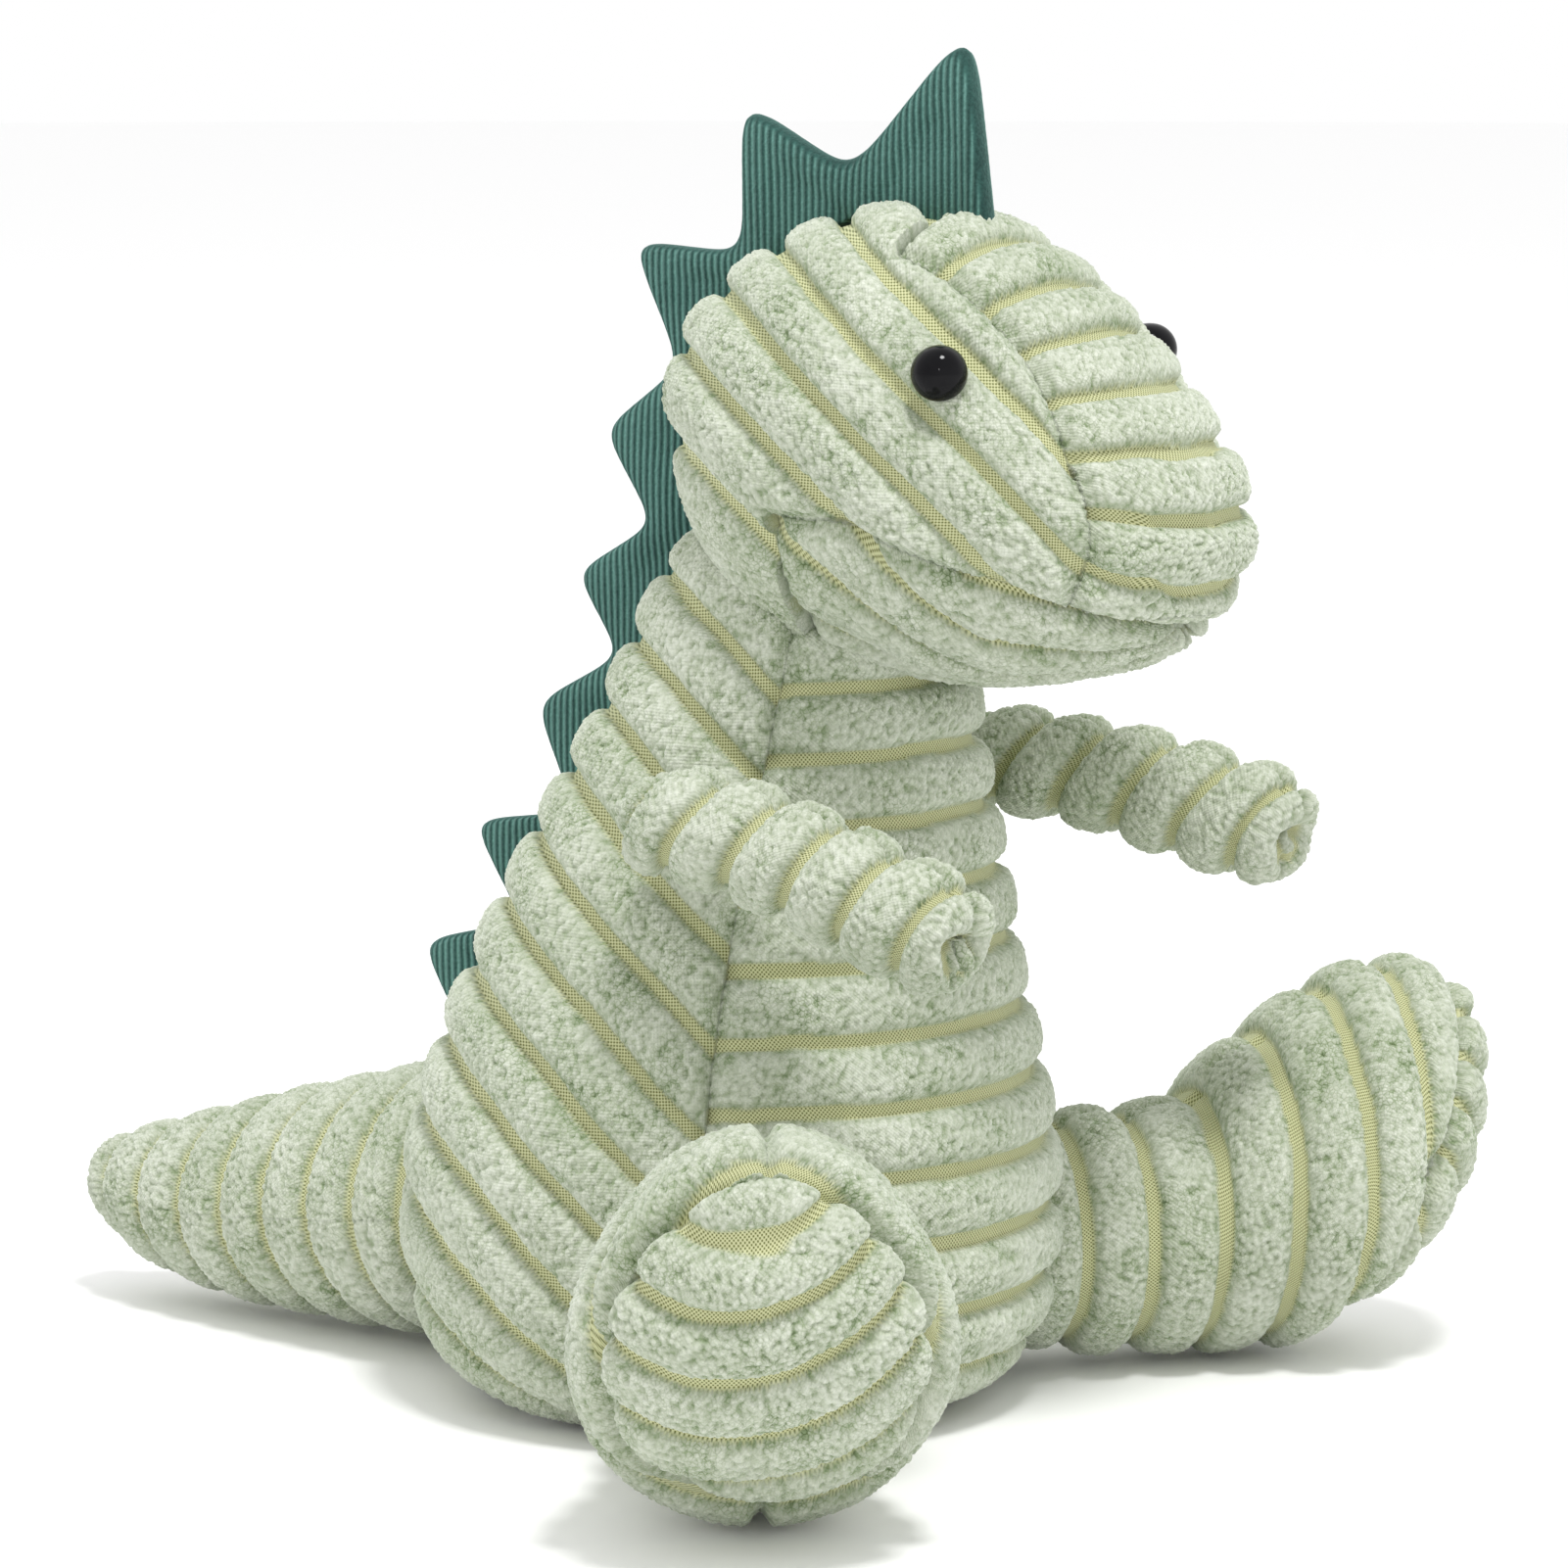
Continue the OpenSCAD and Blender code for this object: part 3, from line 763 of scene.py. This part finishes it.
def build_tail():
    reach = box("tail_cover")[1][1] - TAIL[1]
    table = [(t, s * reach, z, r, r, r, 0, 0) for t, s, z, r in TAIL_LINE]
    shape = Stuffed((0, TAIL[1]), 180, table)
    straight_down = 1.5 * np.pi
    down = np.abs((shape.u - straight_down + np.pi) % (2 * np.pi) - np.pi)
    seam = shape.oval[:, 2] * down
    w = shape.length - 5 * np.cos(shape.u) ** 2 - 3 * np.sin(shape.u)
    skin = dress(shape, w, shape.oval[:, 2] * shape.u, seam, 51)
    piece = sew(shape, skin, {"tail_cover": np.ones(len(seam), bool)}, PLUSH)["tail_cover"]
    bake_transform(piece)
    build_stuffing("stuffing_tail", shape, "tail_fill", "tail")


# Rows: station, share of the length, drop, outward drift, half width and half height. The last two are
# shares of the arm's radius.
ARM_LINE = [
    (0.0, -0.155, 0, 0, 0.04, 0.04),
    (0.05, -0.13, 0, 0, 0.6, 0.6),
    (0.12, -0.05, 0, 0, 0.94, 0.94),
    (0.22, 0.08, -0.5, 0.5, 1.0, 1.0),
    (0.36, 0.26, -2, 1.5, 0.98, 1.02),
    (0.5, 0.45, -4.5, 2.5, 1.0, 1.05),
    (0.65, 0.64, -8, 3, 1.05, 1.08),
    (0.8, 0.80, -11, 3, 1.05, 1.08),
    (0.9, 0.91, -12.3, 3, 0.9, 0.95),
    (0.96, 0.97, -13, 3, 0.58, 0.64),
    (1.0, 1.0, -13, 3, 0.04, 0.04),
]
ARM_RADIUS = 13
ARM_REACH = 0.95                        # length to the paw's tip, as a share of the CAD cover's
ARM_DROP = {"right": 1.4, "left": 0.85}


def build_arm(side):
    sign = SIGN[side]
    tip = box("arm_outer_" + side)[0][1]
    length = ARM_REACH * (SHOULDER[side][1] - tip)
    table = []
    for t, s, drop, _, a, b in ARM_LINE:
        z = SHOULDER[side][2] + drop * ARM_DROP[side]
        table.append((t, s * length, z, a * ARM_RADIUS, b * ARM_RADIUS, b * ARM_RADIUS, -10, 0))
    shape = Stuffed(SHOULDER[side][:2], 0, table, GRID * 0.92)
    outer = shape.flat[:, 0] * sign > 0
    drift = np.interp(shape.station, [r[0] for r in ARM_LINE], [r[3] for r in ARM_LINE]) * sign
    shape.points[:, 0] += drift
    seam = np.abs(shape.flat[:, 0])
    w = shape.length - 5 * np.sin(shape.u) + 5
    to_tip = shape.length - shape.length.max()
    level = (shape.oval[:, 3] * np.sin(shape.u) + 1.5) / 3.2         # 0 at the notch across the paw
    notch = np.exp(-level ** 2) * smoothstep(-13, -3, to_tip)
    bare = np.exp(-level ** 2 * 0.7) * smoothstep(-12, -8, to_tip) * smoothstep(-1, -4, to_tip) * outer
    v = shape.oval[:, 2] * shape.u
    skin = dress(shape, w, v, seam * 1.4, 71 + sign, puff=0.7, dent=4 * notch, bare=bare)
    panels = {"arm_outer_" + side: outer, "arm_inner_" + side: ~outer}
    for piece in sew(shape, skin, panels, PLUSH).values():
        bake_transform(piece)
    build_stuffing("stuffing_arm_" + side, shape, "arm_fill_" + side, "arm_" + side, depth=8.6)


# Rows: station, forward from the hip, height, half width, half height, pitch. The last rows are the sole.
LEG_LINE = [
    (0.0, -18, 33, 0.5, 0.5, 0),
    (0.05, -17, 33, 12, 12, 0),
    (0.12, -9, 33, 22, 22, 0),
    (0.2, 2, 33, 26, 26, 0),
    (0.3, 18, 31.5, 26.5, 27, 0),
    (0.42, 38, 30, 27.5, 28.5, 0),
    (0.54, 56, 30, 29.5, 29.7, 0),
    (0.63, 70, 36.5, 33, 36, -2),
    (0.72, 84, 44.5, 36.8, 44, -8),
    (0.79, 95, 49, 38.8, 48.8, -15),
    (0.85, 104, 50, 38.2, 48.2, -19),
    (0.895, 111, 50, 35, 44.8, -22),
    (0.93, 117, 49, 30.5, 39.5, -22),
    (0.957, 122, 48, 24, 31, -22),
    (0.98, 126.5, 46.8, 14, 18.5, -22),
    (1.0, 128.5, 46, 0.5, 0.5, -22),
]
SOLE_STATION = 0.90
SOLE_TILT = math.radians(22)
SOLE_MIDDLE = (110, 50)                 # forward and height
LEG_YAW = 52
FOOT_EGG = 0.17
FOOT_FLAT_TOP = 0.13


def build_leg(side):
    sign = SIGN[side]
    hip = HIP[side]
    table = []
    for t, s, z, a, b, pitch in LEG_LINE:
        foot = smoothstep(60, 100, s)
        table.append((t, s, z, a, b * (1 - FOOT_FLAT_TOP * foot), b, pitch, FOOT_EGG * foot))
    shape = Stuffed(hip[:2], sign * LEG_YAW, table)
    p, s, z = shape.flat.T
    sole_edge = np.interp(SOLE_STATION, shape.station, shape.length)
    from_sole = shape.length - sole_edge
    sole = from_sole > 0
    along_sole = (z - SOLE_MIDDLE[1]) * math.cos(SOLE_TILT) + (s - SOLE_MIDDLE[0]) * math.sin(SOLE_TILT)
    w = np.where(sole, along_sole - 0.010 * (p - 12 * sign) ** 2 + 4, s + 2)
    v = np.where(sole, p, shape.oval[:, 3] * shape.u)
    seam = np.where(sole, from_sole, np.minimum(-from_sole, np.abs(p) * 1.2))
    worn = 0.0
    if side == "right":
        worn = np.exp(-((along_sole - 27) / 3.6) ** 2 - ((p + 2) / 11) ** 2) * sole
    dent = 1.6 * np.exp(-(from_sole / 3.5) ** 2)
    skin = dress(shape, w, v, seam, 91 + sign, dent=dent, bare=worn)
    outer = p * sign > 0
    panels = {
        "sole_" + side: sole,
        "leg_outer_" + side: ~sole & outer,
        "leg_inner_" + side: ~sole & ~outer,
    }
    for piece in sew(shape, skin, panels, PLUSH).values():
        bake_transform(piece)
    build_stuffing("stuffing_leg_" + side, shape, "leg_fill_" + side, "leg_" + side, depth=9.6)


# ---------------------------------------------------------------- crest
# Each row is the valley in front of a spike, its tip and the valley behind it. Places are (back, height).
SPIKES = [
    ((-62, 258), (-56, 302), (-26, 270)),
    ((-26, 270), (2, 285), (2, 252)),
    ((2, 252), (32, 254), (19, 227)),
    ((19, 227), (40, 212), (26, 192)),
    ((26, 192), (48, 180), (36, 162)),
    ((36, 162), (59, 150), (48, 126)),
    ((48, 126), (77, 122), (63, 100)),
    ((63, 100), (92, 93), (78, 70)),
]
# Where the crest is rooted in the stuffing, below each valley.
ROOTS = [(-60, 252), (-30, 262), (-5, 250), (8, 225), (10, 195), (20, 163), (32, 130), (48, 100), (62, 72)]
CREST_HALF = 2.3          # half the thickness of the doubled corduroy
CREST_STEP = 0.7
CREST_ROWS = 64
WALE = 1.75               # from one wale of the corduroy to the next


def crest_line():
    """Outer edge from front to back, with rounded tips, and the root that each of its points stands on."""
    outer, root = [], []
    for i, (valley, tip, after) in enumerate(SPIKES):
        a, b = np.array(ROOTS[i], float), np.array(ROOTS[i + 1], float)
        for k, (first, last) in enumerate(((valley, tip), (tip, after))):
            for f in np.linspace(0, 1, 40, endpoint=False):
                outer.append(np.array(first) + (np.array(last) - np.array(first)) * f)
                root.append(a + (b - a) * (k + f) / 2)
    outer.append(np.array(SPIKES[-1][2], float))
    root.append(np.array(ROOTS[-1], float))
    outer, root = np.array(outer, float), np.array(root)
    for _ in range(90):
        outer[1:-1] = (outer[:-2] + 2 * outer[1:-1] + outer[2:]) / 4
    return outer, root


def crest_sheet():
    """Places on the crest as rows from root to outer edge, and each one's distance to that edge."""
    outer, root = crest_line()
    step = np.linalg.norm(np.diff(outer, axis=0), axis=1)
    run = np.concatenate([[0], np.cumsum(step)])
    even = np.arange(0, run[-1], CREST_STEP)
    outer = np.stack([np.interp(even, run, outer[:, i]) for i in (0, 1)], axis=1)
    root = np.stack([np.interp(even, run, root[:, i]) for i in (0, 1)], axis=1)
    t = np.linspace(0, 1, CREST_ROWS) ** 0.85
    flat = root[None] + (outer - root)[None] * t[:, None, None]
    edge = np.linalg.norm(outer - root, axis=1)[None] * (1 - t[:, None])
    return flat, edge, t


def crest_faces(rows, n):
    """Quads of two facing sheets of rows by n points, joined all round."""
    j, i = np.meshgrid(np.arange(rows - 1), np.arange(n - 1), indexing="ij")
    one = np.stack([j * n + i, j * n + i + 1, (j + 1) * n + i + 1, (j + 1) * n + i], axis=-1).reshape(-1, 4)
    two = one[:, ::-1] + rows * n
    i = np.arange(n - 1)
    top, other = (rows - 1) * n, rows * n
    rim = np.stack([top + i, top + i + 1, top + other + i + 1, top + other + i], axis=1)
    foot = np.stack([i + 1, i, i + other, i + other + 1], axis=1)
    j = np.arange(rows - 1)
    front = np.stack([j * n, (j + 1) * n, (j + 1) * n + other, j * n + other], axis=1)
    back = np.stack([(j + 1) * n, j * n, j * n + other, (j + 1) * n + other], axis=1) + n - 1
    return np.concatenate([one, two, rim, foot, front, back])


def build_crest():
    flat, edge, t = crest_sheet()
    half = CREST_HALF * np.sqrt(np.clip(1 - (1 - np.clip(edge / 3.2, 0, 1)) ** 2, 0, 1))
    half = half + 0.5 * np.sin(np.clip(edge / 16, 0, 1) * np.pi)
    place = np.stack([np.zeros(flat.shape[:2]), flat[..., 0], flat[..., 1]], axis=-1).reshape(-1, 3)
    wale = (place[:, 1] + 1.2 * noise(place, 25, 5)) / WALE
    lean = 1.6 * (noise(place, 28, 6) - 0.5).reshape(half.shape) * t[:, None]
    grain = 0.12 * (noise(place, 0.8, 7) - 0.5).reshape(half.shape)
    sides = []
    for sign in (-1, 1):
        x = sign * (half + 0.25 + grain) + lean
        sides.append(np.stack([x, TOY_Y + flat[..., 0], flat[..., 1]], axis=-1).reshape(-1, 3))
    level = smoothstep(0.4, 2.8, edge).ravel()     # the wales flatten out where the edge is turned
    values = {"wale": np.tile(wale, 2), "flat": np.tile(level, 2)}
    piece = make_mesh("crest", np.concatenate(sides), crest_faces(*edge.shape), values)
    piece.data.materials.append(CORDUROY)
    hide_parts("crest_head", "crest_back")
    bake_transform(piece)


# ---------------------------------------------------------------- eyes
# Profiles as (radius, height).
EYE_PROFILE = [
    (0.0, 7.3), (1.4, 7.1), (2.8, 6.6), (4.1, 5.6), (5.1, 4.2),
    (5.75, 2.6), (5.9, 1.2), (5.7, 0.0), (5.0, -1.2), (3.8, -2.0),
    (2.4, -2.6), (2.0, -4.0), (2.0, -9.6), (1.6, -10.0), (0.0, -10.0),
]
WASHER_PROFILE = [
    (2.2, -0.8), (5.6, -0.8), (6.1, 0.0), (5.6, 0.8), (2.2, 0.8),
    (2.1, 0.0), (2.2, -0.8),
]
EYE_OUT = Vector((0.80, -0.42, 0.43)).normalized()
# Depth of each turned piece's own zero below the head's cover.
EYE_DEPTH = 1.6
WASHER_DEPTH = 9.0


def lathe(name, profile, turns, material):
    """A turned piece about Z: closed on the axis, or a ring if its profile ends where it starts."""
    profile = np.array(profile, float)
    line = curve(np.column_stack([np.arange(len(profile)), profile]), np.linspace(0, len(profile) - 1, 90))
    line[:, 0] = np.maximum(line[:, 0], 0)
    ring_shaped = line[0, 0] > 0
    if ring_shaped:
        line = line[:-1]
    angle = 2 * np.pi * np.arange(turns) / turns
    ring = np.stack([np.cos(angle), np.sin(angle)], axis=1)
    points = np.concatenate([np.column_stack([r * ring, np.full(turns, z)]) for r, z in line])
    if ring_shaped:
        j, i = np.meshgrid(np.arange(len(line)), np.arange(turns), indexing="ij")
        ahead, beside = (j + 1) % len(line), (i + 1) % turns
        corners = [j * turns + i, j * turns + beside, ahead * turns + beside, ahead * turns + i]
        faces = np.stack(corners, axis=-1).reshape(-1, 4)
    else:
        faces = grid_faces(len(line), turns)[:, ::-1]
    piece = make_mesh(name, points, faces, {})
    piece.data.materials.append(material)
    return piece


def build_eye(side, head):
    low, high = box("eye_washer_" + side)
    out = Vector((SIGN[side] * EYE_OUT.x, EYE_OUT.y, EYE_OUT.z))
    washer = Vector((low + high) / 2)
    away = head.points - np.array(washer)
    along = away @ np.array(out)
    aside = np.linalg.norm(away - along[:, None] * np.array(out), axis=1)
    over_washer = (aside < 3) & (along > 0)
    surface = washer + out * float(along[over_washer].mean())
    turn = out.to_track_quat("Z", "Y").to_matrix().to_4x4()
    parts = (
        ("bead_eye_", EYE_PROFILE, 64, EYE, "eye_gloss", "eye_", EYE_DEPTH),
        ("lock_washer_", WASHER_PROFILE, 40, WASHER, "washer_plastic", "eye_washer_", WASHER_DEPTH),
    )
    for name, profile, turns, material, slot, node, depth in parts:
        piece = lathe(name + side, profile, turns, material)
        turn.translation = (surface - out * depth) * MM
        piece.data.transform(turn)
        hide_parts(node + side)
        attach(piece, "head")


# ---------------------------------------------------------------- camera, floor and light
CAMERA_AZIMUTH = math.radians(-55)
CAMERA_ELEVATION = math.radians(8)
CAMERA_DISTANCE = 1.4
CAMERA_LENS = 144.8
AIM_OFFSET = Vector((0.0192, -0.0291, -0.0137))      # from the middle of the toy's box
FLOOR_RADIUS = 8


def build_camera():
    """The camera stands in front of the toy's right side, a little above it."""
    aim = (Vector(cad_box[0]) + Vector(cad_box[1])) / 2 + AIM_OFFSET
    level = math.cos(CAMERA_ELEVATION)
    away = Vector((
        math.sin(CAMERA_AZIMUTH) * level,
        -math.cos(CAMERA_AZIMUTH) * level,
        math.sin(CAMERA_ELEVATION),
    ))
    data = bpy.data.cameras.new("camera")
    data.lens = CAMERA_LENS
    data.sensor_width = 36
    camera = bpy.data.objects.new("camera", data)
    camera.location = aim + away * CAMERA_DISTANCE
    camera.rotation_euler = (-away).to_track_quat("-Z", "Y").to_euler()
    bpy.context.scene.collection.objects.link(camera)
    bpy.context.scene.camera = camera


def area_light(name, place, target, size, power):
    data = bpy.data.lights.new(name, "AREA")
    data.shape = "DISK"
    data.size = size
    data.energy = power
    light = bpy.data.objects.new(name, data)
    light.location = place
    light.rotation_euler = (Vector(target) - Vector(place)).to_track_quat("-Z", "Y").to_euler()
    bpy.context.scene.collection.objects.link(light)


def build_stage():
    bpy.ops.mesh.primitive_circle_add(vertices=96, radius=FLOOR_RADIUS, fill_type="NGON")
    floor = bpy.context.object
    floor.name = "floor"
    material, _, shader = new_material("floor_white")
    shader.inputs["Base Color"].default_value = (0.97, 0.97, 0.97, 1)
    shader.inputs["Roughness"].default_value = 0.9
    shader.inputs["Specular IOR Level"].default_value = 0.1
    floor.data.materials.append(material)
    world = bpy.data.worlds.new("studio")
    world.use_nodes = True
    background = world.node_tree.nodes["Background"]
    background.inputs["Color"].default_value = (1.0, 1.0, 1.0, 1)
    background.inputs["Strength"].default_value = 1.0
    bpy.context.scene.world = world
    bpy.context.scene.view_settings.view_transform = "Standard"
    area_light("key", (-0.5, -0.85, 2.5), (0, 0, 0.2), 0.5, 36)
    area_light("side", (-1.7, -1.2, 1.0), (0, 0, 0.2), 0.12, 1.2)
    area_light("back", (1.0, 1.2, 1.8), (0, 0, 0.12), 1.2, 0.8)


# ---------------------------------------------------------------- everything
def dress_inside():
    """The pellet bag keeps its CAD shape, which lies deep in the stuffing."""
    bag = frame["nodes"]["pellet_pouch"]
    bag.data.materials.clear()
    bag.data.materials.append(BAG)


build_camera()
build_stage()
build_torso()
head_shape = build_head()
build_tail()
for each in ("right", "left"):
    build_arm(each)
    build_leg(each)
    build_eye(each, head_shape)
build_crest()
dress_inside()
